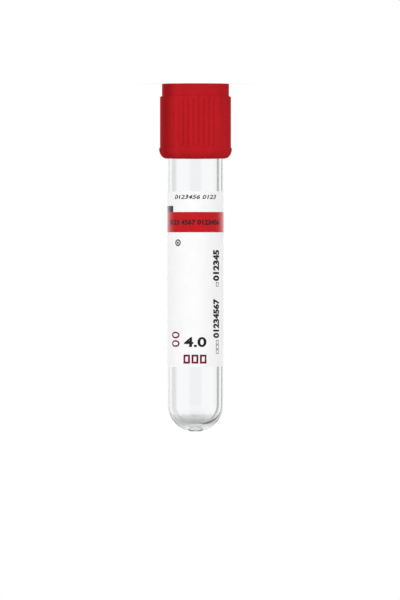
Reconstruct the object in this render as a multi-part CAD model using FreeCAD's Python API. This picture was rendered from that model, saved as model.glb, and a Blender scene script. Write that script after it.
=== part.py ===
"""A 4 ml blood collection tube, 13 by 75 mm, with a ribbed safety cap that pulls off with its stopper.

Each piece is made upright, with the tube's lowest point at the origin, its axis along Z and the front
of the label towards -Y. At the end the whole tube is turned over to stand on its cap, because a round
base can't stand.
"""

import FreeCAD, Part
import math
import os

# All sizes are in millimetres.

# Tube: clear plastic, with a round base.
TUBE_LENGTH = 75.0
TUBE_RADIUS = 6.5
TUBE_WALL = 0.8
BASE_THICKNESS = 1.35
RIM_BEVEL = 0.2
GATE_RADIUS = 1.75
GATE_DEPTH = 0.35
GATE_STUB_RADIUS = 0.45
GATE_STUB_HEIGHT = 0.1

# Stopper: rubber. Its plug closes the bore, its flange sits on the rim, and its head holds the cap.
PLUG_DEPTH = 5.4
PLUG_CLEARANCE = 0.05
PLUG_WALL = 1.7
BEAD_HEIGHT = 0.25
BEAD_WIDTH = 1.1
BEAD_COUNT = 2
STOPPER_FLANGE = 1.4
STOPPER_FLANGE_CLEARANCE = 0.1
NECK_RADIUS = 4.4
NECK_CLEARANCE = 0.05
HEAD_OVERHANG = 0.75
HEAD_THICKNESS = 1.0
DISH_RADIUS = 3.4
DISH_DEPTH = 0.6
SEPTUM = 4.0
LEAD_IN = 0.8
RECESS_BEVEL = 1.2
RUBBER_BEVEL = 0.2

# Safety cap: a ribbed plastic shell over the rim, with an open well above the stopper.
SKIRT_OVERLAP = 10.6
SKIRT_CLEARANCE = 0.2
GRIP_WALL = 1.65
FLANGE_STEP = 0.22
FLANGE_HEIGHT = 2.57
FLANGE_CORNER_ACROSS = 1.75
FLANGE_CORNER_UP = 2.3
COLLAR_HEIGHT = 2.94
COLLAR_STEP = 0.47
SHOULDER_BEVEL = 0.4
WEB_THICKNESS = 0.8
WELL_ABOVE_HEAD = 3.8
WELL_CLEARANCE = 0.1
WELL_BEVEL = 0.35
GROOVES_A_SIDE = 9
GROOVE_PITCH = 9.0
GROOVE_WIDTH = 0.7
GROOVE_DEPTH = 0.24
GROOVE_TURN = -3.2

# Label: a white film wrapped round the tube, with a gap at the back, and what is printed on it.
ADHESIVE = 0.02
LABEL_THICKNESS = 0.1
LABEL_GAP = 4.8
LABEL_ABOVE_BASE = 8.94
LABEL_BELOW_CAP = 7.74
INK_THICKNESS = 0.05
BAND_BELOW_TOP = 4.86
BAND_HEIGHT = 4.76
MARK_HEIGHT = 1.45
MARK_START = 52.3
MARK_SPAN = 42.0

# Turns, in degrees.
FULL_TURN = 360.0
HALF_TURN = 180.0
QUARTER_TURN = 90.0

ORIGIN = FreeCAD.Vector(0, 0, 0)
UP = FreeCAD.Vector(0, 0, 1)
FORWARD = FreeCAD.Vector(0, -1, 0)

# Heights and radii that follow from the sizes above.
bore_radius = TUBE_RADIUS - TUBE_WALL
rim = TUBE_LENGTH
web_bottom = rim + STOPPER_FLANGE
web_top = web_bottom + WEB_THICKNESS
head_top = web_top + HEAD_THICKNESS
cap_top = head_top + WELL_ABOVE_HEAD
cap_bottom = rim - SKIRT_OVERLAP
skirt_bore = TUBE_RADIUS + SKIRT_CLEARANCE
grip_radius = skirt_bore + GRIP_WALL
flange_radius = grip_radius + FLANGE_STEP
flange_top = cap_bottom + FLANGE_HEIGHT
collar_radius = grip_radius - COLLAR_STEP
shoulder = cap_top - COLLAR_HEIGHT
head_radius = NECK_RADIUS + HEAD_OVERHANG
label_bottom = TUBE_RADIUS + LABEL_ABOVE_BASE
label_top = cap_bottom - LABEL_BELOW_CAP
label_bore = TUBE_RADIUS + ADHESIVE
label_radius = label_bore + LABEL_THICKNESS


def profile_point(radius, height):
    return FreeCAD.Vector(radius, 0, height)


def quarter_oval(corner, start, end):
    """A quarter of an ellipse from start to end, in place of a square corner. A spline through three
    poles is a true ellipse when its middle pole weighs the cosine of half the turn."""
    weights = [1, math.cos(math.pi / 4), 1]
    curve = Part.BSplineCurve()
    curve.buildFromPolesMultsKnots([start, corner, end], [3, 3], [0, 1], False, 2, weights)
    return curve.toShape()


def outline(corners):
    """Edges of a closed profile. Each corner is a radius, a height and how far it's cut back, with a
    straight bevel, or with a tangent arc where a fourth word says so. An oval corner takes two cuts, the
    one before it and the one after it."""
    places = [profile_point(radius, height) for radius, height, *cut in corners]
    edges = []
    ends = []
    for index, (_, _, cut, *form) in enumerate(corners):
        corner = places[index]
        back = (places[index - 1] - corner).normalize()
        ahead = (places[(index + 1) % len(places)] - corner).normalize()
        before, after = cut if form == ["oval"] else (cut, cut)
        start = corner + back * before
        end = corner + ahead * after
        ends.append((start, end))
        if form == ["oval"]:
            edges.append(quarter_oval(corner, start, end))
        elif form == ["round"]:
            half_angle = back.getAngle(ahead) / 2
            inward = (back + ahead).normalize()
            middle = corner + inward * (cut / math.cos(half_angle) - cut * math.tan(half_angle))
            edges.append(Part.Arc(start, middle, end).toShape())
        elif cut > 0:
            edges.append(Part.LineSegment(start, end).toShape())
    for index, (start, end) in enumerate(ends):
        leaving = ends[index - 1][1]
        if leaving.distanceToPoint(start) > Part.Precision.confusion():
            edges.append(Part.LineSegment(leaving, start).toShape())
    return edges


def turned(edges, angle=FULL_TURN):
    """The solid that a profile of these edges sweeps when it's turned about the axis."""
    face = Part.Face(Part.Wire(Part.__sortEdges__(edges)))
    return face.revolve(ORIGIN, UP, angle)


def make_tube():
    """Straight wall, round base that is flatter inside, and a sunk mark where the plastic entered."""
    body = turned(
        outline(
            [
                (0, BASE_THICKNESS, 0),
                (0, 0, 0),
                (TUBE_RADIUS, 0, TUBE_RADIUS, "round"),
                (TUBE_RADIUS, rim, RIM_BEVEL),
                (bore_radius, rim, RIM_BEVEL),
                (bore_radius, BASE_THICKNESS, (TUBE_RADIUS - BASE_THICKNESS, bore_radius), "oval"),
            ]
        )
    )
    gate = Part.makeCylinder(GATE_RADIUS, GATE_DEPTH)
    stub = Part.makeCylinder(GATE_STUB_RADIUS, GATE_STUB_HEIGHT)
    stub.translate(UP * (GATE_DEPTH - GATE_STUB_HEIGHT))
    return body.cut(gate.cut(stub))


def bead_corners(plug_radius, bead_radius):
    """Corners of the sealing beads round the plug, from the top one down."""
    pitch = PLUG_DEPTH / (BEAD_COUNT + 1)
    corners = []
    for number in range(BEAD_COUNT):
        middle = rim - pitch * (number + 1)
        corners += [
            (plug_radius, middle + BEAD_WIDTH / 2, 0),
            (bead_radius, middle + BEAD_WIDTH / 4, 0),
            (bead_radius, middle - BEAD_WIDTH / 4, 0),
            (plug_radius, middle - BEAD_WIDTH / 2, 0),
        ]
    return corners


def make_stopper():
    """Dished head, neck, flange on the rim, and hollow plug with sealing beads."""
    bead_radius = bore_radius - PLUG_CLEARANCE
    plug_radius = bead_radius - BEAD_HEIGHT
    plug_bottom = rim - PLUG_DEPTH
    dish_bottom = head_top - DISH_DEPTH
    recess_top = dish_bottom - SEPTUM
    recess_radius = plug_radius - PLUG_WALL
    flange = skirt_bore - STOPPER_FLANGE_CLEARANCE
    return turned(
        outline(
            [
                (0, dish_bottom, 0),
                (DISH_RADIUS, dish_bottom, DISH_DEPTH / 2),
                (DISH_RADIUS, head_top, 0),
                (head_radius, head_top, RUBBER_BEVEL),
                (head_radius, web_top, RUBBER_BEVEL),
                (NECK_RADIUS, web_top, 0),
                (NECK_RADIUS, web_bottom, 0),
                (flange, web_bottom, RUBBER_BEVEL),
                (flange, rim, RUBBER_BEVEL),
                (plug_radius, rim, 0),
                *bead_corners(plug_radius, bead_radius),
                (plug_radius, plug_bottom, LEAD_IN),
                (recess_radius, plug_bottom, 0),
                (recess_radius, recess_top, RECESS_BEVEL),
                (0, recess_top, 0),
            ]
        )
    )


def make_safety_cap():
    """Collar, ribbed grip and flange outside. Inside, a web that the stopper's neck passes through."""
    well_radius = head_radius + WELL_CLEARANCE
    web_bore = NECK_RADIUS + NECK_CLEARANCE
    flange = turned(
        outline(
            [
                (skirt_bore, cap_bottom, 0),
                (flange_radius, cap_bottom, (FLANGE_CORNER_ACROSS, FLANGE_CORNER_UP), "oval"),
                (flange_radius, flange_top, 0),
                (skirt_bore, flange_top, 0),
            ]
        )
    )
    shell = turned(
        outline(
            [
                (skirt_bore, flange_top, 0),
                (grip_radius, flange_top, 0),
                (grip_radius, shoulder, SHOULDER_BEVEL),
                (collar_radius, shoulder, 0),
                (collar_radius, cap_top, 0),
                (well_radius, cap_top, WELL_BEVEL),
                (well_radius, web_top, 0),
                (web_bore, web_top, 0),
                (web_bore, web_bottom, 0),
                (skirt_bore, web_bottom, 0),
            ]
        )
    )
    # A groove is the part of a round bar that bites GROOVE_DEPTH into the grip, GROOVE_WIDTH across.
    bar_radius = ((GROOVE_WIDTH / 2) ** 2 + GROOVE_DEPTH**2) / (2 * GROOVE_DEPTH)
    bar = Part.makeCylinder(bar_radius, shoulder - flange_top)
    bar.translate(FreeCAD.Vector(0, GROOVE_DEPTH - grip_radius - bar_radius, flange_top))
    # The mould's two halves part sideways, so only its front and its back have grooves.
    first_turn = GROOVE_TURN - GROOVE_PITCH * (GROOVES_A_SIDE - 1) / 2
    grooves = []
    for number in range(GROOVES_A_SIDE):
        for side_turn in (0, HALF_TURN):
            groove = bar.copy()
            groove.rotate(ORIGIN, UP, first_turn + number * GROOVE_PITCH + side_turn)
            grooves.append(groove)
    return shell.cut(Part.makeCompound(grooves)).fuse(flange).removeSplitter()


def wrapped(inner_radius, thickness, bottom, top, start, span):
    """A film on the tube's round wall. Turns count from the front, and on round by the tube's left."""
    edges = outline(
        [
            (inner_radius, bottom, 0),
            (inner_radius + thickness, bottom, 0),
            (inner_radius + thickness, top, 0),
            (inner_radius, top, 0),
        ]
    )
    film = turned(edges, span)
    film.rotate(ORIGIN, UP, -QUARTER_TURN - start - span)
    return film


def make_label_pieces():
    """The film and its two printed fields."""
    gap_turn = math.degrees(LABEL_GAP / TUBE_RADIUS)
    start = (gap_turn - FULL_TURN) / 2
    span = FULL_TURN - gap_turn
    band_top = label_top - BAND_BELOW_TOP
    band_bottom = band_top - BAND_HEIGHT
    mark_top = band_top + MARK_HEIGHT
    return {
        "label": wrapped(label_bore, LABEL_THICKNESS, label_bottom, label_top, start, span),
        "label_red_band": wrapped(
            label_radius, INK_THICKNESS, band_bottom, band_top, start, span
        ),
        "label_black_mark": wrapped(
            label_radius, INK_THICKNESS, band_top, mark_top, MARK_START, MARK_SPAN
        ),
    }


def standing(shape):
    """A copy turned over to stand on its cap, with the front of the label still towards -Y."""
    turned_over = shape.copy()
    turned_over.rotate(ORIGIN, FORWARD, HALF_TURN)
    turned_over.translate(UP * cap_top)
    return turned_over


pieces = {
    "tube": make_tube(),
    "stopper": make_stopper(),
    "safety_cap": make_safety_cap(),
    **make_label_pieces(),
}
os.makedirs("parts", exist_ok=True)
for name, shape in pieces.items():
    standing(shape).exportStep(f"parts/{name}.step")
    print(name, "volume", round(shape.Volume, 2), "valid", shape.isValid())
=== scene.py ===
# %% [markdown]
# # A blood collection tube, standing on its cap
#
# The real thing is a clear plastic tube with a round base and a wrapped label. A rubber stopper closes
# it, and a ribbed red cap covers the stopper. A round base can't stand, so the tube stands on its cap.
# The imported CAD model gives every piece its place, and this lesson gives each piece its finish.

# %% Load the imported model
import math

import bmesh
import bpy
from mathutils import Matrix, Vector


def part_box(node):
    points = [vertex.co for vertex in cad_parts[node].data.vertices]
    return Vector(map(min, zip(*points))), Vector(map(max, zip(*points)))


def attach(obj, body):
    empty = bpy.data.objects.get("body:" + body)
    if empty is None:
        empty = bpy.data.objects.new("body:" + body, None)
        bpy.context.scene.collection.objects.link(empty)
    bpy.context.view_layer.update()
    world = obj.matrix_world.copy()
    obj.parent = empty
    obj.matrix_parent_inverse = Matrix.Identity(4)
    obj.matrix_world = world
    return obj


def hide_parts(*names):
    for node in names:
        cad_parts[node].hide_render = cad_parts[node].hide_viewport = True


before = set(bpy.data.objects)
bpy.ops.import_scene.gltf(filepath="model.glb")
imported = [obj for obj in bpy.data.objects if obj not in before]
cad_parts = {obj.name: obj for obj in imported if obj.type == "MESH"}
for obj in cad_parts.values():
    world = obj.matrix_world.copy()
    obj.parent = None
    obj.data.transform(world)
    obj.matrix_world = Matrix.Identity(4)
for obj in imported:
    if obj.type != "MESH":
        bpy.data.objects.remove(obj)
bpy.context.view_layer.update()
print("pieces in the frame:", ", ".join(sorted(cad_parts)))

# %% [markdown]
# ## Measuring upright
#
# A tube is easiest to think about the way it's read: base down, cap up, front of the label towards -Y.
# So each mesh is made upright, in millimetres, and one matrix turns it over onto its cap at the end.
# Heights and widths come from the CAD pieces, so the two models can't drift apart. Heights count from
# where the round base would end if the moulding's sunk mark weren't there.

# %% The upright frame
MM = 0.001
GATE_RADIUS = 1.75

tube_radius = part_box("tube")[1].x / MM
sunk_tip = tube_radius - math.sqrt(tube_radius**2 - GATE_RADIUS**2)
base_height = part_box("tube")[1].z + sunk_tip * MM
TURNED_OVER = (
    Matrix.Translation((0, 0, base_height)) @ Matrix.Rotation(math.pi, 4, "Y") @ Matrix.Scale(MM, 4)
)
print(f"tube {tube_radius:.2f} mm wide from its axis, its base's tip sunk by {sunk_tip:.2f} mm")

# %% Heights, widths and turns of the CAD pieces
def upright(node):
    """Every corner of a CAD piece, base down, in millimetres."""
    back = TURNED_OVER.inverted()
    return [back @ corner.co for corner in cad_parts[node].data.vertices]


def heights(node):
    """Its lowest and highest place above the tip of the round base."""
    found = [place.z for place in upright(node)]
    return min(found), max(found)


def widest(node):
    """How far it reaches from the tube's axis."""
    return max(math.hypot(place.x, place.y) for place in upright(node))


def turns(node):
    """The turns between which it lies, in degrees from the front, to the right."""
    found = [math.degrees(math.atan2(place.x, -place.y)) for place in upright(node)]
    return min(found), max(found)


rim = heights("tube")[1]
cap_low, cap_high = heights("safety_cap")
flange_radius = widest("safety_cap")
label_radius = widest("label")
print(f"rim at {rim:.2f} mm, cap from {cap_low:.2f} to {cap_high:.2f} mm")
print(f"label {label_radius:.2f} mm from the axis")

# %% [markdown]
# ## Soft corners
#
# No moulded corner is sharp. A Bevel modifier could round the finished mesh, but every corner of the cap
# and the stopper has a rounding of its own. So the outline is rounded before it becomes a mesh: each
# corner is cut back and bridged by an arc. A weighted curve of three points gives a true circular arc,
# where a plain one would bulge. A holding point just outside each end of the arc keeps the shading of
# the flat wall beside it flat, which matters most where light bends through it.

# %% Outlines with soft corners
HOLD = 1.12


def softened(corners, steps=5):
    """Profile points, with an arc at each corner of (radius, height, how far it's cut back)."""
    places = [Vector((radius, height)) for radius, height, _ in corners]
    points = []
    for index, (_, _, cut) in enumerate(corners):
        corner = places[index]
        if cut == 0:
            points.append(corner)
            continue
        back = (places[index - 1] - corner).normalized()
        ahead = (places[(index + 1) % len(places)] - corner).normalized()
        pull = math.sin(back.angle(ahead) / 2)
        points.append(corner + back * cut * HOLD)
        for step in range(steps + 1):
            share = step / steps
            weights = ((1 - share) ** 2, 2 * share * (1 - share) * pull, share**2)
            ends = (corner + back * cut, corner, corner + ahead * cut)
            points.append(sum((w * end for w, end in zip(weights, ends)), Vector((0, 0))) / sum(weights))
        points.append(corner + ahead * cut * HOLD)
    return [tuple(point) for point in points]


print(f"an arc is held from {HOLD} times its own reach")

# %% [markdown]
# ## The lathe
#
# Tube, stopper and cap are all round, as most moulded containers are, and a lathe is the natural way:
# draw half of a cut through the piece, and sweep that outline round the axis. The Screw modifier does the
# same. This function can also stop part of the way round, as the label does, and take a bite out of the
# wall as it passes, which makes the cap's grooves.

# %% The lathe
WELD = 1e-5


def swept(outline, columns, first=0.0, last=360.0, bite=None):
    """The mesh that an outline sweeps between two turns. bite(turn, radius, height) is cut from it."""
    mesh = bmesh.new()
    whole = last - first == 360.0
    rows = []
    for column in range(columns if whole else columns + 1):
        turn = first + (last - first) * column / columns
        along = Vector((math.sin(math.radians(turn)), -math.cos(math.radians(turn)), 0))
        row = []
        for radius, height in outline:
            reach = radius - bite(turn, radius, height) if bite else radius
            row.append(mesh.verts.new(along * reach + Vector((0, 0, height))))
        rows.append(row)
    for column in range(columns):
        here, there = rows[column], rows[(column + 1) % len(rows)]
        for index in range(len(outline)):
            after = (index + 1) % len(outline)
            if outline[index][0] + outline[after][0] > 0:
                mesh.faces.new((here[index], here[after], there[after], there[index]))
    if not whole:
        mesh.faces.new(rows[0])
        mesh.faces.new(rows[-1])
    bmesh.ops.remove_doubles(mesh, verts=mesh.verts, dist=WELD)
    bmesh.ops.recalc_face_normals(mesh, faces=mesh.faces)
    return mesh


# %% [markdown]
# ## Finishes as expressions
#
# A finish is a small graph of nodes. Drawn by hand it soon tangles, so here a sum such as
# `0.4 + 0.1 * mottle` is written as Python, and the class below adds a Math node for each operator.

# %% Sockets
class Socket:
    """One output of a node, with the operators that a finish needs."""

    def __init__(self, tree, output):
        self.tree = tree
        self.output = output

    def made(self, operation, *values):
        return self.tree.node("ShaderNodeMath", {"operation": operation}, dict(enumerate(values)))

    def __add__(self, other):
        return self.made("ADD", self, other)

    def __sub__(self, other):
        return self.made("SUBTRACT", self, other)

    def __rsub__(self, other):
        return self.made("SUBTRACT", other, self)

    def __mul__(self, other):
        return self.made("MULTIPLY", self, other)

    def __truediv__(self, other):
        return self.made("DIVIDE", self, other)

    __radd__ = __add__
    __rmul__ = __mul__


# %% [markdown]
# ## Node trees
#
# Any other node comes from one method. It sets the node's settings first, because a setting such as the
# kind of data decides which sockets the node has, and then fills or links the sockets. Colours have a
# mixing node of their own, because a Math node would turn them grey.

# %% Node trees
class Tree:
    """A node tree that is built by calls."""

    def __init__(self, tree):
        self.tree = tree
        self.tree.nodes.clear()

    def node(self, kind, settings=None, sockets=None, output=0):
        """Adds a node of this kind, and gives one of its outputs."""
        made = self.tree.nodes.new(kind)
        for name, value in (settings or {}).items():
            setattr(made, name, value)
        for name, value in (sockets or {}).items():
            if isinstance(value, Socket):
                self.tree.links.new(value.output, made.inputs[name])
            else:
                made.inputs[name].default_value = value
        return Socket(self, made.outputs[output]) if made.outputs else None

    def mixed(self, share, first, second):
        """A colour between two colours."""
        return self.node("ShaderNodeMix", {"data_type": "RGBA"}, {0: share, 6: first, 7: second}, 2)

    def ramp(self, value, low, high):
        """0 below low and 1 above high, eased in between."""
        limits = {"Value": value, "From Min": low, "From Max": high}
        return self.node("ShaderNodeMapRange", {"interpolation_type": "SMOOTHSTEP"}, limits)


# %% [markdown]
# ## Patterns on a piece
#
# Real plastic, rubber and print are never quite even. An image could say how, but it has a size and it
# needs unwrapping. Noise lies on the object's own coordinates and needs neither, it stays with the piece
# when that moves, and stretched along the tube it gives streaks as well as spots, dust and grain.

# %% Finishes
class Finish(Tree):
    """A material, which lies on the object's own coordinates in metres."""

    def __init__(self, name):
        self.material = bpy.data.materials.new(name)
        self.material.use_nodes = True
        super().__init__(self.material.node_tree)
        self.place = self.node("ShaderNodeTexCoord", output="Object")

    def stretched(self, across, along, moved=0.0):
        """Coordinates in which one unit is so many millimetres across the tube and along it."""
        scale = (1 / (across * MM), 1 / (across * MM), 1 / (along * MM))
        inputs = {"Vector": self.place, "Location": (0, 0, moved), "Scale": scale}
        return self.node("ShaderNodeMapping", {}, inputs)

    def distance(self, point):
        """How far each place is from a point, in metres."""
        places = {0: self.place, 1: point}
        return self.node("ShaderNodeVectorMath", {"operation": "DISTANCE"}, places, "Value")

    def turn(self):
        """Degrees round the tube, 0 at its front and more to the right."""
        across, ahead = (self.node("ShaderNodeSeparateXYZ", {}, {0: self.place}, axis) for axis in "XY")
        return across.made("ARCTAN2", 0 - across, 0 - ahead) * math.degrees(1)

    def mottle(self, across, along, detail=3.0, moved=0.0):
        """Soft noise from 0 to 1, in spots of this size in millimetres. moved picks another pattern."""
        spots = {"Vector": self.stretched(across, along, moved), "Scale": 1.0, "Detail": detail}
        return self.node("ShaderNodeTexNoise", {}, spots)

    def relief(self, height, depth):
        """A normal bent by a height from 0 to 1 over this depth in millimetres."""
        return self.node("ShaderNodeBump", {}, {"Height": height, "Distance": depth * MM})

    def surface(self, shader):
        self.node("ShaderNodeOutputMaterial", {}, {"Surface": shader})
        return self.material


# %% [markdown]
# ## The red cap's plastic
#
# The cap is moulded from red polypropylene, which comes out of the mould satin, not glossy. Its colour
# has faint swirls and long streaks where the melt flowed, and down the left of its front it is darker in
# a broad, soft band of painted shade. A very fine grain takes the edge off every reflection. Noise at
# several
# scales gives that: colour from the large ones, gloss from the middle one and a bump from the fine one.
# The painted shade is no noise, because it has a place: it fades out with the turn away from its middle.

# %% Red polypropylene
SWIRL_SPOT = (6, 14)
SWIRL_SPREAD = (0.3, 0.7)
STREAK_SPOT = (3.2, 36)
STREAK_SPREAD = (0.3, 0.6)
STREAK_PATTERN = 15.6
STREAK_SHARE = 0.6
# Painted shade: a darker red in a soft band round this turn, down the left of the cap's front.
PAINTED_SHADE_TURN = -58.0
PAINTED_SHADE_CORE = 1.0
PAINTED_SHADE_FADE = 26.0
PAINTED_SHADE_SWIRL = 0.2
SKIN_SPOT = (1.1, 2.5)
SKIN_ROUGHNESS = 0.5
SKIN_ROUGHER = 0.14
GRAIN_SPOT = (0.12, 0.12)
GRAIN_DEPTH = 0.004
DEEP_RED = (0.395, 0.0095, 0.014, 1)
BRIGHT_RED = (0.5, 0.0135, 0.0195, 1)
PAINTED_SHADE_RED = (0.3, 0.007, 0.0095, 1)
POLYPROPYLENE_INDEX = 1.49
POLYPROPYLENE_SHINE = 0.008


def red_polypropylene():
    finish = Finish("red_polypropylene")
    swirl = finish.ramp(finish.mottle(*SWIRL_SPOT), *SWIRL_SPREAD)
    streaks = finish.mottle(*STREAK_SPOT, detail=1.0, moved=STREAK_PATTERN)
    streak = finish.ramp(streaks, *STREAK_SPREAD)
    # Painted shade: the red darkens in a soft band about this turn, down the left of the front.
    aside = finish.turn() - PAINTED_SHADE_TURN
    painted_shade = 1 - finish.ramp(aside.made("ABSOLUTE", aside), PAINTED_SHADE_CORE, PAINTED_SHADE_FADE)
    bright = (1 - STREAK_SHARE) * swirl + STREAK_SHARE * streak
    colour = finish.mixed(bright, DEEP_RED, BRIGHT_RED)
    shade_share = painted_shade * ((1 - PAINTED_SHADE_SWIRL) + PAINTED_SHADE_SWIRL * swirl)
    sockets = {
        "Base Color": finish.mixed(shade_share, colour, PAINTED_SHADE_RED),
        "Roughness": SKIN_ROUGHNESS + SKIN_ROUGHER * finish.mottle(*SKIN_SPOT),
        "IOR": POLYPROPYLENE_INDEX,
        "Specular IOR Level": POLYPROPYLENE_SHINE,
        "Normal": finish.relief(finish.mottle(*GRAIN_SPOT, detail=2.0), GRAIN_DEPTH),
    }
    return finish.surface(finish.node("ShaderNodeBsdfPrincipled", {}, sockets))


RED_POLYPROPYLENE = red_polypropylene()
print("finish:", RED_POLYPROPYLENE.name)

# %% [markdown]
# ## The safety cap
#
# The cap is one moulding: a smooth collar, a ribbed grip for the fingers, a rounded flange, a skirt
# over the tube and an open well for the needle. It could be built from several rings joined with
# Booleans, but one outline with named heights and radii is easier to change and leaves no seams.

# %% Sizes of the cap
GRIP_BELOW_FLANGE = 0.22
FLANGE_HEIGHT = 2.57
FLANGE_ROUND_ACROSS = 1.75
FLANGE_ROUND_UP = 2.3
COLLAR_STEP = 0.47
COLLAR_HEIGHT = 2.94
SHOULDER_CUT = 0.28
SHOULDER_HOLLOW = 0.18
SKIRT_GAP = 0.2
WEB_THICKNESS = 0.8
HEAD_THICKNESS = 1.0
NECK_BORE = 4.45
WELL_RADIUS = 5.25

grip_radius = flange_radius - GRIP_BELOW_FLANGE
collar_radius = grip_radius - COLLAR_STEP
shoulder = cap_high - COLLAR_HEIGHT
flange_top = cap_low + FLANGE_HEIGHT
web_high = heights("stopper")[1] - HEAD_THICKNESS
web_low = web_high - WEB_THICKNESS
skirt_radius = tube_radius + SKIRT_GAP
print(f"grip {grip_radius:.2f} mm, collar {collar_radius:.2f} mm, shoulder at {shoulder:.2f} mm")

# %% [markdown]
# ## Grooves in the grip
#
# The cap's mould opens sideways, so only its front and its back have grooves. They are shallow and could
# be a bump, but they catch the light along their whole length and show at the shoulder, so here they are
# real: the lathe takes a small bite out of the grip wherever a groove runs, and eases it off at both
# ends.

# %% Grooves on its front and back
GROOVES_A_SIDE = 9
GROOVE_PITCH = 9.0
GROOVE_WIDTH = 0.8
GROOVE_DEPTH = 0.27
GROOVE_TURN = -3.2
GROOVE_FADE = 0.9
GROOVE_RUN_OUT = 6.5


def groove(turn, radius, height):
    """How deep the grip is cut here."""
    if radius < collar_radius or not flange_top < height < shoulder:
        return 0.0
    from_middle = (turn - GROOVE_TURN + 90) % 180 - 90
    nearest = round(from_middle / GROOVE_PITCH)
    if abs(nearest) > GROOVES_A_SIDE // 2:
        return 0.0
    aside = abs(from_middle - nearest * GROOVE_PITCH)
    across = math.radians(aside) * grip_radius / (GROOVE_WIDTH / 2)
    top_fade = GROOVE_FADE + GROOVE_RUN_OUT * max(0, -nearest) / GROOVES_A_SIDE
    ends = min(1.0, (shoulder - height) / top_fade, (height - flange_top) / (GROOVE_FADE / 2))
    hollow = (1 + math.cos(math.pi * min(across, 1.0))) / 2
    return GROOVE_DEPTH * hollow * math.sin(math.pi / 2 * max(ends, 0.0))


middle_of_grip = (flange_top + shoulder) / 2
print(f"middle groove {groove(GROOVE_TURN, grip_radius, middle_of_grip):.2f} mm deep")

# %% [markdown]
# ## The cap's outline
#
# The outline runs up the outside of the cap, over its end and down the well and the skirt's bore. The
# flange's lower corner is a quarter of an ellipse and has points of its own. The grip's wall gets more
# points near its ends, where the grooves ease off, because a bite can only be as smooth as the mesh.

# %% Outline of the cap
CAP_COLUMNS = 720
EDGE_ROUND = 0.12
GRIP_FOOT_ROUND = 0.05
COLLAR_ROUND = 0.14
WELL_BEVEL = 0.35
RING_ROUND = 0.1
SKIRT_ROUND = 0.3


def flange_round(steps=12):
    """The flange's rounded lower corner, a quarter of an ellipse from its side to its underside."""
    points = []
    for step in range(steps + 1):
        angle = math.radians(90 * step / steps)
        across = flange_radius - FLANGE_ROUND_ACROSS * (1 - math.cos(angle))
        points.append((across, cap_low + FLANGE_ROUND_UP * (1 - math.sin(angle))))
    return points


def grip_wall(steps=14):
    """Points up the grip, closer together where the grooves ease off."""
    points = []
    for step in range(1, steps):
        share = (1 - math.cos(math.pi * step / steps)) / 2
        points.append((grip_radius, flange_top + (shoulder - SHOULDER_CUT - flange_top) * share, 0))
    return points


cap_outline = flange_round()[::-1] + softened(
    [
        (flange_radius, flange_top, EDGE_ROUND),
        (grip_radius, flange_top, GRIP_FOOT_ROUND),
        *grip_wall(),
        (grip_radius, shoulder, SHOULDER_CUT),
        (collar_radius, shoulder, SHOULDER_HOLLOW),
        (collar_radius, cap_high, COLLAR_ROUND),
        (WELL_RADIUS, cap_high, WELL_BEVEL),
        (WELL_RADIUS, web_high, RING_ROUND),
        (NECK_BORE, web_high, RING_ROUND),
        (NECK_BORE, web_low, RING_ROUND),
        (skirt_radius, web_low, SKIRT_ROUND),
        (skirt_radius, cap_low, EDGE_ROUND),
    ]
)
print(f"cap outline of {len(cap_outline)} points")

# %% [markdown]
# ## Putting a piece in its place
#
# One function ends the work on every piece. It turns the upright mesh over and smooths it where it's
# round. An Edge Split modifier could keep the corners crisp, but marking them by their angle keeps the
# mesh in one skin. The piece then rides on the CAD body that it belongs to, and hides the plain CAD solid
# that it stands for.

# %% Placing
def placed(name, mesh, body, finish, stands_for=None, crisp=38):
    """Makes the object of an upright mesh. crisp is the angle over which an edge stays sharp."""
    data = bpy.data.meshes.new(name)
    mesh.to_mesh(data)
    mesh.free()
    data.transform(TURNED_OVER)
    data.shade_smooth()
    data.set_sharp_from_angle(angle=math.radians(crisp))
    data.materials.append(finish)
    piece = bpy.data.objects.new(name, data)
    bpy.context.scene.collection.objects.link(piece)
    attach(piece, body)
    if stands_for:
        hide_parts(stands_for)
    print(f"{name}: {len(data.polygons)} faces, rides on {body}")


cap_mesh = swept(cap_outline, CAP_COLUMNS, bite=groove)
placed("cap_moulding", cap_mesh, "closure", RED_POLYPROPYLENE, "safety_cap")

# %% [markdown]
# ## Clear plastic
#
# The tube is clear PET. Light bends where it enters and leaves the wall, and that alone draws the dark
# and bright lines down a clear tube's sides. So the wall has both its surfaces and its true thickness,
# and the shader refracts. A glass shader would also cast a shadow as dark as metal does and keep light
# from the label's inner side, so shadow rays and rays from dull surfaces go straight through a tinted
# transparent shader. Inside, the wall of the round base has a grey tint, which is most at the bottom of
# the bore and stops at a ragged edge.

# %% Thickness of the wall and the base
TUBE_WALL = 0.8
BASE_THICKNESS = 1.35

bore_radius = tube_radius - TUBE_WALL
print(f"bore {bore_radius:.2f} mm from the axis, base {BASE_THICKNESS:.2f} mm thick")

# %% Grey at the bottom of the bore
# A grey tint on the inner surface of the round base, most at the bottom of the bore.
GREY_REACH = 6.0
GREY_FADE = 1.0
GREY_RAGGED = 0.8
GREY_SPOT = (1.6, 1.6)
GREY_EVEN = 0.7
INNER_SKIN = (1.03, 1.08)


def on_inner_base(finish):
    """1 on the inner surface of the round base and 0 on its outer one."""
    centre = TURNED_OVER @ Vector((0, 0, tube_radius))
    inner_sizes = [MM * size for size in (bore_radius, bore_radius, tube_radius - BASE_THICKNESS)]
    offset = finish.node("ShaderNodeVectorMath", {"operation": "SUBTRACT"}, {0: finish.place, 1: centre})
    shares = finish.node("ShaderNodeVectorMath", {"operation": "DIVIDE"}, {0: offset, 1: inner_sizes})
    outward = finish.node("ShaderNodeVectorMath", {"operation": "LENGTH"}, {0: shares}, "Value")
    return 1 - finish.ramp(outward, *INNER_SKIN)


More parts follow.
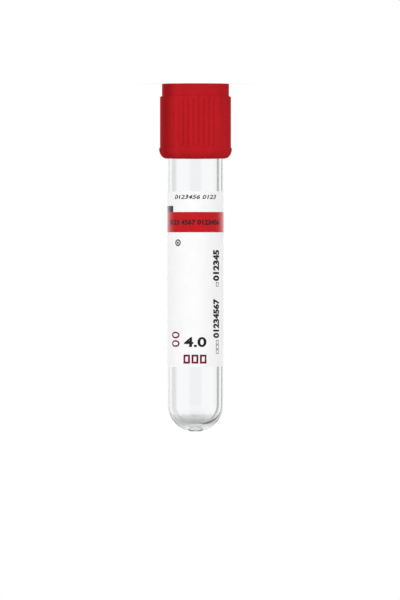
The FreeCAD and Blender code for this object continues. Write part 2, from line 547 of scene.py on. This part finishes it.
def bottom_grey(finish, haze):
    """How much grey tint there is: most at the bottom of the bore, and none past its ragged edge."""
    bottom = TURNED_OVER @ Vector((0, 0, BASE_THICKNESS))
    away = finish.distance(bottom) / MM + GREY_RAGGED * finish.mottle(*GREY_SPOT)
    near_bottom = 1 - finish.ramp(away, GREY_REACH - GREY_FADE, GREY_REACH)
    return on_inner_base(finish) * near_bottom * (GREY_EVEN + (1 - GREY_EVEN) * haze)


print(f"dried film up to {GREY_REACH:.1f} mm from the bottom of the bore")

# %% Clear PET
PET_INDEX = 1.575
PET_TINT = (0.966, 0.97, 0.974, 1)
BOTTOM_GREY_TINT = (0.42, 0.42, 0.425, 1)
FLOW_SPOT = (2.2, 30.0)
FLOW_DEPTH = 0.0002
HAZE_SPOT = (4.0, 9.0)
PET_ROUGHNESS = 0.015
HAZE_ROUGHER = 0.02


def clear_pet():
    finish = Finish("clear_pet")
    haze = finish.mottle(*HAZE_SPOT)
    sockets = {
        "Base Color": finish.mixed(bottom_grey(finish, haze), PET_TINT, BOTTOM_GREY_TINT),
        "Roughness": PET_ROUGHNESS + HAZE_ROUGHER * haze,
        "IOR": PET_INDEX,
        "Transmission Weight": 1.0,
        "Normal": finish.relief(finish.mottle(*FLOW_SPOT, detail=2.0), FLOW_DEPTH),
    }
    wall = finish.node("ShaderNodeBsdfPrincipled", {}, sockets)
    straight = finish.node("ShaderNodeBsdfTransparent", {}, {"Color": PET_TINT})
    shadow = finish.node("ShaderNodeLightPath", output="Is Shadow Ray")
    diffuse = finish.node("ShaderNodeLightPath", output="Is Diffuse Ray")
    unbent = shadow.made("MAXIMUM", shadow, diffuse)
    return finish.surface(finish.node("ShaderNodeMixShader", {}, {0: unbent, 1: wall, 2: straight}))


CLEAR_PET = clear_pet()
print("finish:", CLEAR_PET.name, "index", PET_INDEX)

# %% [markdown]
# ## The rubber stopper
#
# Bromobutyl rubber is dull, dark grey and a little dusty, because the stopper is dusted so that it
# doesn't stick. It shows when the tube is pulled from its cap. A plain high roughness would look like
# chalk, so the dust lies in patches that are paler and rougher, over a fine bump.

# %% Rubber
GREY_BARE = (0.1, 0.098, 0.1, 1)
GREY_DUSTY = (0.15, 0.148, 0.145, 1)
DUST_SPOT = (1.4, 1.4)
DUST_SPREAD = (0.45, 0.75)
RUBBER_ROUGHNESS = 0.62
DUST_ROUGHER = 0.2
RUBBER_GRAIN_SPOT = (0.08, 0.08)
RUBBER_GRAIN_DEPTH = 0.006


def grey_rubber():
    finish = Finish("grey_rubber")
    dust = finish.ramp(finish.mottle(*DUST_SPOT, detail=5.0), *DUST_SPREAD)
    sockets = {
        "Base Color": finish.mixed(dust, GREY_BARE, GREY_DUSTY),
        "Roughness": RUBBER_ROUGHNESS + DUST_ROUGHER * dust,
        "Normal": finish.relief(finish.mottle(*RUBBER_GRAIN_SPOT), RUBBER_GRAIN_DEPTH),
    }
    return finish.surface(finish.node("ShaderNodeBsdfPrincipled", {}, sockets))


GREY_RUBBER = grey_rubber()
print("finish:", GREY_RUBBER.name)

# %% [markdown]
# ## The stopper's form
#
# The stopper's head fills the cap's well, its neck passes the cap's inner ring, and its flange lies on
# the tube's rim. The plug has two beads that seal against the bore, and it's hollow, so that it can
# give. All of that is round, so it comes off the lathe as the cap did.

# %% Sizes of the stopper
PLUG_DEPTH = 5.4
PLUG_WALL = 1.7
SEPTUM = 4.0
DISH_RADIUS = 3.4
DISH_DEPTH = 0.6
BEADS = 2
BEAD_HEIGHT = 0.25
BEAD_WIDTH = 1.1
RUBBER_GAP = 0.05
HEAD_GAP = 0.1

plug_radius = bore_radius - RUBBER_GAP - BEAD_HEIGHT
plug_low = rim - PLUG_DEPTH
recess_radius = plug_radius - PLUG_WALL
head_radius = WELL_RADIUS - HEAD_GAP
neck_radius = NECK_BORE - RUBBER_GAP
head_high = heights("stopper")[1]
dish_low = head_high - DISH_DEPTH
stopper_radius = widest("stopper")
print(f"plug {plug_radius:.2f} mm and head {head_radius:.2f} mm from the axis")

# %% Outline of the stopper
STOPPER_COLUMNS = 128
RUBBER_ROUND = 0.2
RIM_ROUND = 0.15
BEAD_ROUND = 0.08
DISH_ROUND = 0.3
NOSE_ROUND = 0.8
RECESS_ROUND = 1.2


def bead_corners():
    """The sealing beads round the plug, from the top one down."""
    corners = []
    for bead in range(BEADS):
        middle = rim - PLUG_DEPTH * (bead + 1) / (BEADS + 1)
        for side, out in ((1, 0), (0.5, 1), (-0.5, 1), (-1, 0)):
            corners.append((plug_radius + BEAD_HEIGHT * out, middle + side * BEAD_WIDTH / 2, BEAD_ROUND))
    return corners


stopper_outline = softened(
    [
        (0, dish_low, 0),
        (DISH_RADIUS, dish_low, DISH_ROUND),
        (DISH_RADIUS, head_high, RIM_ROUND),
        (head_radius, head_high, RUBBER_ROUND),
        (head_radius, web_high, RUBBER_ROUND),
        (neck_radius, web_high, 0),
        (neck_radius, web_low, 0),
        (stopper_radius, web_low, RUBBER_ROUND),
        (stopper_radius, rim, RUBBER_ROUND),
        (plug_radius, rim, 0),
        *bead_corners(),
        (plug_radius, plug_low, NOSE_ROUND),
        (recess_radius, plug_low, RIM_ROUND),
        (recess_radius, dish_low - SEPTUM, RECESS_ROUND),
        (0, dish_low - SEPTUM, 0),
    ]
)
stopper_mesh = swept(stopper_outline, STOPPER_COLUMNS)
placed("stopper_moulding", stopper_mesh, "closure", GREY_RUBBER, "stopper")

# %% [markdown]
# ## The tube
#
# The tube is one moulding: a straight wall, a round base inside and out, and a sunk mark at the tip
# where the plastic entered the mould. The base is thicker than the wall, as it is on a real tube that
# has to stand a centrifuge, and so it's a little flatter inside than outside. A cylinder and a sphere
# could be joined, but a clear piece would show the seam, and it shows every facet twice. So both surfaces
# are one outline, as curves with many points.

# %% The sunk mark at the tip
GATE_DEPTH = 0.35
STUB_RADIUS = 0.45
STUB_HEIGHT = 0.1
STUB_ROUND = 0.08
GATE_ROUND = 0.1

stub_low = GATE_DEPTH - STUB_HEIGHT
gate = softened(
    [
        (0, stub_low, 0),
        (STUB_RADIUS, stub_low, STUB_ROUND),
        (STUB_RADIUS, GATE_DEPTH, STUB_ROUND),
        (GATE_RADIUS, GATE_DEPTH, GATE_ROUND),
        (GATE_RADIUS, sunk_tip, 0),
    ]
)
print(f"mark {GATE_RADIUS:.2f} mm in radius, its floor {GATE_DEPTH:.2f} mm up, with a stub on it")

# %% Outline of the tube
LIP_ROUND = 0.2
WALL_START = 0.3
TUBE_COLUMNS = 192


def quarter_round(across, down, first=0.0, steps=36):
    """A quarter of an ellipse about the base's centre, from an angle at the tip to the side."""
    points = []
    for step in range(steps + 1):
        angle = first + (math.pi / 2 - first) * step / steps
        points.append((across * math.sin(angle), tube_radius - down * math.cos(angle)))
    return points


gate_edge = math.asin(GATE_RADIUS / tube_radius)
wall_low = tube_radius + WALL_START
outside = quarter_round(tube_radius, tube_radius, gate_edge)
inside = quarter_round(bore_radius, tube_radius - BASE_THICKNESS)
wall = softened(
    [
        (tube_radius, wall_low, 0),
        (tube_radius, rim, LIP_ROUND),
        (bore_radius, rim, LIP_ROUND),
        (bore_radius, wall_low, 0),
    ]
)
tube_outline = gate + outside + wall + inside[::-1]
placed("tube_moulding", swept(tube_outline, TUBE_COLUMNS), "tube", CLEAR_PET, "tube")

# %% [markdown]
# ## The label's film and inks
#
# The label is a white polypropylene film with a satin varnish. Seen straight on it is plain white, and
# towards the tube's sides the varnish mirrors what stands round it, so that even the red band turns pale
# there. A Layer Weight node gives that: it is near 0 where the surface faces the eye and near 1 at its
# edge, and here it sets how much clear coat shows. The inks are the same varnish over another colour, so
# one function makes them all.

# %% Film and printing inks
CLOUD_SPOT = (3.0, 5.0)
CLOUD_SPREAD = (0.3, 0.7)
CLOUD_SHARE = 0.7
CLOUD_ROUGHER = 0.12
SPECK_SPOT = (0.1, 0.1)
RIPPLE_SPOT = (0.5, 0.8)
RIPPLE_DEPTH = 0.004
PRINT_ROUGHNESS = 0.34
PRINT_SHINE = 0.1
COAT_STARTS = 0.3
COAT_WHOLE = 0.75
COAT_ROUGHNESS = 0.12
COAT_INDEX = 1.8


def varnished(name, colour, deeper):
    """A satin varnish over a colour that is uneven by a little, as print is."""
    finish = Finish(name)
    cloud = finish.ramp(finish.mottle(*CLOUD_SPOT), *CLOUD_SPREAD)
    speck = finish.mottle(*SPECK_SPOT, detail=2.0)
    uneven = CLOUD_SHARE * cloud + (1 - CLOUD_SHARE) * speck
    aside = finish.node("ShaderNodeLayerWeight", {}, {"Blend": 0.5}, "Facing")
    sockets = {
        "Base Color": finish.mixed(uneven, (*colour, 1), (*deeper, 1)),
        "Roughness": PRINT_ROUGHNESS + CLOUD_ROUGHER * cloud,
        "Specular IOR Level": PRINT_SHINE,
        "Coat Weight": finish.ramp(aside, COAT_STARTS, COAT_WHOLE),
        "Coat Roughness": COAT_ROUGHNESS,
        "Coat IOR": COAT_INDEX,
        "Normal": finish.relief(finish.mottle(*RIPPLE_SPOT), RIPPLE_DEPTH),
    }
    return finish.surface(finish.node("ShaderNodeBsdfPrincipled", {}, sockets))


WHITE_FILM = varnished("white_film", (0.925, 0.925, 0.93), (0.9, 0.9, 0.905))
RED_INK = varnished("red_ink", (0.55, 0.011, 0.017), (0.5, 0.01, 0.015))
BLACK_INK = varnished("black_ink", (0.012, 0.012, 0.013), (0.02, 0.02, 0.021))
CRIMSON_INK = varnished("crimson_ink", (0.17, 0.003, 0.026), (0.2, 0.004, 0.032))
print("films and inks:", WHITE_FILM.name, RED_INK.name, BLACK_INK.name, CRIMSON_INK.name)

# %% [markdown]
# ## The label
#
# The film goes almost all the way round and leaves a clear strip at the back, through which the level
# of the blood is read. It could be a colour on the tube's own wall, but a film has edges, and a back that
# shows through the clear plastic. So film, red band and black mark are each a thin closed sheet. They
# keep the CAD's heights and turns, and gain many more columns, so that they look round.

# %% Label, band and mark
LABEL_COLUMN = 2.0
FILM_THICKNESS = 0.1
INK_THICKNESS = 0.05


def sheet_on_tube(name, node, finish, thickness):
    """The CAD film with a smooth curve. thickness is the film's own, in millimetres."""
    low, high = heights(node)
    first, last = turns(node)
    outer = widest(node)
    outline = [(outer - thickness, low), (outer, low), (outer, high), (outer - thickness, high)]
    columns = math.ceil((last - first) / LABEL_COLUMN)
    placed(name, swept(outline, columns, first, last), "tube", finish, node)


sheet_on_tube("label_film", "label", WHITE_FILM, FILM_THICKNESS)
sheet_on_tube("red_band", "label_red_band", RED_INK, INK_THICKNESS)
sheet_on_tube("black_mark", "label_black_mark", BLACK_INK, INK_THICKNESS)

# %% [markdown]
# ## Numbers for the label
#
# A picture of the print could be projected on the label, but crisp edges need real outlines. Numbers are
# the only lettering here. A text object draws them, and its mesh is then stretched to a width and a
# height in millimetres, because a font's own sizes are hard to foresee.

# %% Flat numbers
PRINT_THICKNESS = 0.02
CURVE_STEPS = 5
NUMBER_WELD = 1e-4


def digits(body, width, height, slant=0.0, weight=0.0):
    """Numbers as a flat solid about its middle, made to this width and height in millimetres."""
    curve = bpy.data.curves.new("digits", "FONT")
    curve.body = body
    curve.shear = slant
    curve.offset = weight
    curve.extrude = 0.5
    curve.resolution_u = CURVE_STEPS
    drawn = bpy.data.objects.new("digits", curve)
    bpy.context.scene.collection.objects.link(drawn)
    bpy.context.view_layer.update()
    data = bpy.data.meshes.new_from_object(drawn.evaluated_get(bpy.context.evaluated_depsgraph_get()))
    mesh = bmesh.new()
    mesh.from_mesh(data)
    bpy.data.objects.remove(drawn)
    bpy.data.curves.remove(curve)
    bpy.data.meshes.remove(data)
    low = [min(corner.co[axis] for corner in mesh.verts) for axis in range(3)]
    high = [max(corner.co[axis] for corner in mesh.verts) for axis in range(3)]
    sizes = (width, height, PRINT_THICKNESS)
    for corner in mesh.verts:
        for axis in range(3):
            share = (corner.co[axis] - low[axis]) / (high[axis] - low[axis])
            corner.co[axis] = sizes[axis] * (share if axis == 2 else share - 0.5)
    bmesh.ops.remove_doubles(mesh, verts=mesh.verts, dist=NUMBER_WELD)
    return mesh


print("print", PRINT_THICKNESS, "mm thick")

# %% [markdown]
# ## Rings, boxes and blocks
#
# The other marks are plain shapes, some of them hollow. A Boolean could cut the hole, but for two
# outlines with as many corners it's simpler to bridge one to the other, corner by corner.

# %% Flat plates
def plate(outline, hole=()):
    """A flat solid from the corners of its outline, with a hole of as many corners if there is one."""
    mesh = bmesh.new()
    loops = []
    for corners in (outline, hole):
        for level in (0, PRINT_THICKNESS):
            loops.append([mesh.verts.new((*corner, level)) for corner in corners])
    count = len(outline)
    for index in range(count):
        after = (index + 1) % count
        low, high, inner_low, inner_high = ([loop[index], loop[after]] if loop else [] for loop in loops)
        mesh.faces.new((*low, high[1], high[0]))
        if hole:
            mesh.faces.new((*inner_low, inner_high[1], inner_high[0]))
            mesh.faces.new((*low, inner_low[1], inner_low[0]))
            mesh.faces.new((*high, inner_high[1], inner_high[0]))
    if not hole:
        mesh.faces.new(loops[0])
        mesh.faces.new(loops[1])
    bmesh.ops.recalc_face_normals(mesh, faces=mesh.faces)
    return mesh


def round_corners(across, up, count=40):
    """The corners of a circle or an oval."""
    angles = [math.tau * index / count for index in range(count)]
    return [(across * math.cos(angle), up * math.sin(angle)) for angle in angles]


def block_corners(width, height):
    """The corners of a rectangle about its middle."""
    return [(x * width / 2, y * height / 2) for x, y in ((-1, -1), (1, -1), (1, 1), (-1, 1))]


# %% [markdown]
# ## Bending a mark round the tube
#
# Print follows the label round. A Shrinkwrap modifier would press a mark flat on the label and lose its
# thickness. So the flat mark is cut into narrow strips and bent: what lies further across the label turns
# further round it, and what stands higher off the sheet stands further from the axis.

# %% Bent marks
STRIP = 0.3
ON_THE_CUT = 1e-6


def wrapped(mesh, turn, height, quarter_turns=0, radius=label_radius):
    """Bends a flat mark round the label, with its middle at this turn and height."""
    mesh.transform(Matrix.Rotation(math.pi / 2 * quarter_turns, 4, "Z"))
    reach = max(abs(corner.co.x) for corner in mesh.verts)
    for number in range(-math.floor(reach / STRIP), math.floor(reach / STRIP) + 1):
        everything = mesh.verts[:] + mesh.edges[:] + mesh.faces[:]
        cut = Vector((number * STRIP, 0, 0))
        bmesh.ops.bisect_plane(mesh, geom=everything, dist=ON_THE_CUT, plane_co=cut, plane_no=(1, 0, 0))
    for corner in mesh.verts:
        across, up, out = corner.co
        angle = math.radians(turn) + across / radius
        corner.co = (radius + out) * Vector((math.sin(angle), -math.cos(angle), 0))
        corner.co.z = height + up
    return mesh


# %% [markdown]
# ## What is printed
#
# A real label names its maker and its batch. This one has no names: a slanted line of numbers at the
# top, numbers across the band, two upright runs of numbers at the right, the volume in millilitres,
# and plain shapes where the other marks go. Marks of one ink that belong together become one piece.

# %% Numbers on the label
TOP_LINE_PLACE = (0, 55.35)
BAND_LINE_PLACE = (-4.2, 49.4)
VOLUME_PLACE = (-0.5, 21.25)
SIDE_TURN = 47.7
SIDE_NUMBER_HEIGHT = 2.1
SIDE_NUMBER_WEIGHT = 0.05


def printed(name, ink, marks, radius=label_radius):
    """Joins bent marks, each of (flat mark, turn, height, quarter turns), into one piece of print."""
    joined = bmesh.new()
    for flat, turn, height, quarter_turns in marks:
        bent = wrapped(flat, turn, height, quarter_turns, radius)
        data = bpy.data.meshes.new("mark")
        bent.to_mesh(data)
        bent.free()
        joined.from_mesh(data)
        bpy.data.meshes.remove(data)
    placed(name, joined, "tube", ink)


def side_number(body, width, height):
    """A run of numbers up the label's right side, with its middle at this height."""
    flat = digits(body, width, SIDE_NUMBER_HEIGHT, weight=SIDE_NUMBER_WEIGHT)
    return flat, SIDE_TURN, height, 1


top_line = digits("0123456 0123", width=10.8, height=1.0, slant=0.25, weight=0.02)
printed("print_top_line", BLACK_INK, [(top_line, *TOP_LINE_PLACE, 0)])
band_line = digits("0123 4567 0123456", width=14.0, height=1.28, weight=0.045)
band_radius = widest("label_red_band")
printed("print_on_band", BLACK_INK, [(band_line, *BAND_LINE_PLACE, 0)], band_radius)
side_numbers = [side_number("012345", 7.3, 39.25), side_number("01234567", 9.2, 26.8)]
printed("print_side_numbers", BLACK_INK, side_numbers)
volume = digits("4.0", width=5.4, height=2.35, weight=0.03)
printed("print_volume", BLACK_INK, [(volume, *VOLUME_PLACE, 0)])

# %% Shapes on the label
RING_SIZE, RING_HOLE, DOT_SIZE = (0.8, 0.8), (0.5, 0.5), (0.28, 0.28)
RING_PLACE = (-38.5, 44.6)
BOX_SIZE, BOX_HOLE = (0.9, 1.0), (0.66, 0.76)
BOX_TURN = SIDE_TURN + 3
BOX_HEIGHTS = (34.8, 21.2, 20.1, 19.0)
BLOCK_SIZE, BLOCK_HOLE = (1.6, 2.1), (0.68, 1.2)
BLOCK_TURNS = (-18.2, -1.1, 16.0)
BLOCK_HEIGHT = 17.25
OVAL_SIZE, OVAL_HOLE = (1.25, 0.8), (0.85, 0.42)
OVAL_TURN = -45.2
OVAL_HEIGHTS = (20.9, 22.9)


def hollow(corners, size, hole):
    """A plate of this form and size, with a hole of the same form."""
    return plate(corners(*size), corners(*hole))


ring = hollow(round_corners, RING_SIZE, RING_HOLE)
dot = plate(round_corners(*DOT_SIZE))
boxes = [(hollow(block_corners, BOX_SIZE, BOX_HOLE), BOX_TURN, height, 0) for height in BOX_HEIGHTS]
blocks = [(hollow(block_corners, BLOCK_SIZE, BLOCK_HOLE), turn, BLOCK_HEIGHT, 0) for turn in BLOCK_TURNS]
ovals = [(hollow(round_corners, OVAL_SIZE, OVAL_HOLE), OVAL_TURN, height, 0) for height in OVAL_HEIGHTS]
printed("print_ring", BLACK_INK, [(flat, *RING_PLACE, 0) for flat in (ring, dot)])
printed("print_small_boxes", BLACK_INK, boxes)
printed("print_crimson_blocks", CRIMSON_INK, blocks)
printed("print_crimson_ovals", CRIMSON_INK, ovals)

# %% [markdown]
# ## Surroundings
#
# Clear plastic has no colour of its own, so what stands round it is what it shows. The tube stands in a
# tent of white cloth, and the eye sees plain white. A real tent would light the object from everywhere
# and drown its shading. Here Light Path tells the rays apart: dull surfaces are lit only by a pale
# ceiling, the floor and the lamps, and the tent is there for the rays that are seen, mirrored or bent.

# %% Rays apart
def seen_rays(tree):
    """Rays from the eye, refracted rays, and both of these with mirrored rays: 1 or 0 each."""
    camera = tree.node("ShaderNodeLightPath", output="Is Camera Ray")
    refracted = tree.node("ShaderNodeLightPath", output="Is Transmission Ray")
    glossy = tree.node("ShaderNodeLightPath", output="Is Glossy Ray")
    return camera, refracted, camera.made("MAXIMUM", camera, refracted.made("MAXIMUM", refracted, glossy))


# %% [markdown]
# ## Gaps between the tent's panels
#
# Light that bends through the clear wall meets two soft grey gaps, and they draw the lines down the
# tube's sides. The same two gaps come round four times, so that the tube looks the same from all sides.
# A ray that was mirrored on its way and leaves in front of the tube misses them, as it would in a tent
# whose front is open, and it meets that opening instead.

# %% Gaps and opening
GAP_PLACE = 21.0
RIGHT_GAP_HALF = 8.0
RIGHT_GAP_SHADE = 0.75
LEFT_GAP_HALF = 12.2
LEFT_GAP_SHADE = 0.21
GAP_SOFT = 1.5
GAP_EVERY = 90.0
OPENING_HALF = 27.0
OPENING_SHADE = 0.4
OPENING_SOFT = 9.0
FRONT_FADE = (60, 100)


def gap(tree, around, place, half):
    """1 inside a soft gap in the tent, at this place in degrees."""
    offset = around - place
    return 1 - tree.ramp(offset.made("ABSOLUTE", offset), half - GAP_SOFT, half + GAP_SOFT)


def gaps_met(tree, angle, turned_away, mirrored):
    """How much grey a bent ray meets in the gaps."""
    whole_turns = angle + (360.0 + GAP_EVERY / 2)
    quarter = whole_turns.made("MODULO", whole_turns, GAP_EVERY) - GAP_EVERY / 2
    right_gap = RIGHT_GAP_SHADE * gap(tree, quarter, GAP_PLACE, RIGHT_GAP_HALF)
    left_gap = LEFT_GAP_SHADE * gap(tree, quarter, -GAP_PLACE, LEFT_GAP_HALF)
    gaps_seen = 1 - mirrored * tree.ramp(turned_away, *FRONT_FADE)
    return gaps_seen * (right_gap + left_gap)


def opening_met(tree, turned_away, mirrored):
    """How much grey a mirrored ray meets in the opening that the tube is looked at through."""
    edge = 180 - OPENING_HALF
    return OPENING_SHADE * mirrored * tree.ramp(turned_away, edge - OPENING_SOFT, edge + OPENING_SOFT)


print(f"gaps at {GAP_PLACE} degrees to each side, every {GAP_EVERY} degrees")

# %% [markdown]
# ## Tent and ceiling
#
# The world's brightness is worked out from the direction that a ray leaves in. Its turn finds the gaps
# and the opening, and its height finds the ceiling. Bent and mirrored rays see the ceiling a little dim,
# which greys the tube's round end. Dull surfaces get light from the ceiling and from nowhere else in the
# world.

# %% Light tent
CEILING_LIGHT = 0.55
CEILING_SEEN = 0.78
CEILING_LOW = 0.3
CEILING_HIGH = 0.5
PURE_WHITE = (1, 1, 1, 1)


def light_tent():
    world = bpy.data.worlds.new("light_tent")
    world.use_nodes = True
    bpy.context.scene.world = world
    tree = Tree(world.node_tree)
    direction = tree.node("ShaderNodeTexCoord", output="Generated")
    across, ahead, rising = (
        tree.node("ShaderNodeSeparateXYZ", {}, {0: direction}, axis) for axis in "XYZ"
    )
    angle = across.made("ARCTAN2", 0 - across, ahead) * math.degrees(1)
    turned_away = angle.made("ABSOLUTE", angle)
    mirrors = tree.node("ShaderNodeLightPath", output="Glossy Depth")
    mirrored = mirrors.made("MINIMUM", mirrors, 1.0)
    ceiling = tree.ramp(rising, CEILING_LOW, CEILING_HIGH)
    camera, refracted, seen = seen_rays(tree)
    tent = (1 - (1 - CEILING_SEEN) * ceiling) * (1 - opening_met(tree, turned_away, mirrored))
    tent = tent * (1 - refracted * gaps_met(tree, angle, turned_away, mirrored))
    strength = camera + (seen - camera) * tent + (1 - seen) * CEILING_LIGHT * ceiling
    background = tree.node("ShaderNodeBackground", {}, {"Color": PURE_WHITE, "Strength": strength})
    tree.node("ShaderNodeOutputWorld", {}, {"Surface": background})


light_tent()
print("ceiling light", CEILING_LIGHT)

# %% [markdown]
# ## Floor
#
# The floor is a plain white table that glows, as a light table does, so that the surfaces which face it
# aren't dark. A brighter lamp would do that too, but it would also clip the label. What is seen of the
# floor is the same white as the tent, apart from the cap's shadow, which stays close round the cap.

# %% Light table
FLOOR_RADIUS = 1.2
FLOOR_GAP = 0.02
FLOOR_CORNERS = 96
TABLE_WHITE = (0.9, 0.9, 0.9, 1)
SHADOW_CORE = 0.2
SHADOW_REACH = 0.019
SHADOW_SHARE = 0.17
GLOW_SHARE = 0.65


def light_table():
    finish = Finish("light_table")
    from_cap = finish.distance((0, 0, 0))
    near = 1 - finish.ramp(from_cap, SHADOW_CORE * SHADOW_REACH, SHADOW_REACH)
    seen = seen_rays(finish)[2]
    glow = seen * (1 - SHADOW_SHARE * near) + (1 - seen) * GLOW_SHARE
    top = finish.node("ShaderNodeBsdfDiffuse", {}, {"Color": TABLE_WHITE})
    lit = finish.node("ShaderNodeEmission", {}, {"Color": PURE_WHITE, "Strength": 1.0})
    return finish.surface(finish.node("ShaderNodeMixShader", {}, {0: glow, 1: top, 2: lit}))


floor_mesh = bmesh.new()
bmesh.ops.create_circle(floor_mesh, cap_ends=True, segments=FLOOR_CORNERS, radius=FLOOR_RADIUS)
floor_data = bpy.data.meshes.new("floor")
floor_mesh.to_mesh(floor_data)
floor_mesh.free()
floor_data.materials.append(light_table())
floor = bpy.data.objects.new("floor", floor_data)
floor.location.z = -FLOOR_GAP * MM
bpy.context.scene.collection.objects.link(floor)
print("floor radius", FLOOR_RADIUS, "m")

# %% [markdown]
# ## Lamps
#
# A wide, low panel stands a little to the left of the eye and lights the label's middle most. It is low
# so that the cap's shoulder, which faces the floor, is lit too. Two weaker panels stand further round at
# either side and keep the tube's edges light, and the last one stands behind it and lights its back, with
# the inner side of the label that shows through the label's gap. Point lamps would draw hard lines on the
# cap's grooves, so all four are areas. None of them shows in a reflection.

# %% Soft panels
PANEL_DISTANCE = 0.8
PANEL_ABOVE_FLOOR = 0.01


def soft_panel(name, azimuth, width, height, watts):
    """A panel that faces the tube, at this azimuth from the eye, in degrees to the eye's right."""
    lamp = bpy.data.lights.new(name, "AREA")
    lamp.shape = "RECTANGLE"
    lamp.size = width
    lamp.size_y = height
    lamp.energy = watts
    panel = bpy.data.objects.new(name, lamp)
    turn = math.radians(azimuth)
    across, ahead = -PANEL_DISTANCE * math.sin(turn), -PANEL_DISTANCE * math.cos(turn)
    panel.location = (across, ahead, height / 2 + PANEL_ABOVE_FLOOR)
    panel.rotation_euler = (math.radians(90), 0, -turn)
    panel.visible_camera = False
    panel.visible_transmission = False
    panel.visible_glossy = False
    bpy.context.scene.collection.objects.link(panel)
    print(f"{name}: {watts} W at {azimuth} degrees")


soft_panel("front_panel", azimuth=-7, width=0.3, height=0.1, watts=3.4)
soft_panel("right_rim_panel", azimuth=118, width=0.5, height=0.25, watts=2.3)
soft_panel("left_rim_panel", azimuth=-122, width=0.5, height=0.25, watts=1.6)
soft_panel("back_panel", azimuth=180, width=0.3, height=0.25, watts=2.1)

# %% [markdown]
# ## Camera
#
# The tube is looked at straight from the front, from far away through a long lens, so that its sides
# stay parallel. An orthographic camera would do that exactly, but a long lens keeps a trace of depth, as
# a real one does. It's shown the way it's read, with its cap up, and so the camera is upside down too.

# %% Camera
VIEW_HEIGHT = 141.2
VIEW_ABOVE_BASE = 31.13
VIEW_RIGHT = 1.06
CAMERA_DISTANCE = 3.0

camera_data = bpy.data.cameras.new("camera")
camera_data.lens = camera_data.sensor_width * CAMERA_DISTANCE / (VIEW_HEIGHT * MM)
camera_data.clip_end = 10.0
camera = bpy.data.objects.new("camera", camera_data)
right, up, back = Vector((-1, 0, 0)), Vector((0, 0, -1)), Vector((0, -1, 0))
looked_at = TURNED_OVER @ Vector((VIEW_RIGHT, 0, VIEW_ABOVE_BASE))
facing = Matrix((right, up, back)).transposed().to_4x4()
camera.matrix_world = Matrix.Translation(looked_at + back * CAMERA_DISTANCE) @ facing
bpy.context.scene.collection.objects.link(camera)
bpy.context.scene.camera = camera
bpy.context.scene.view_settings.view_transform = "Standard"
print(f"lens {camera_data.lens:.0f} mm at {CAMERA_DISTANCE} m")
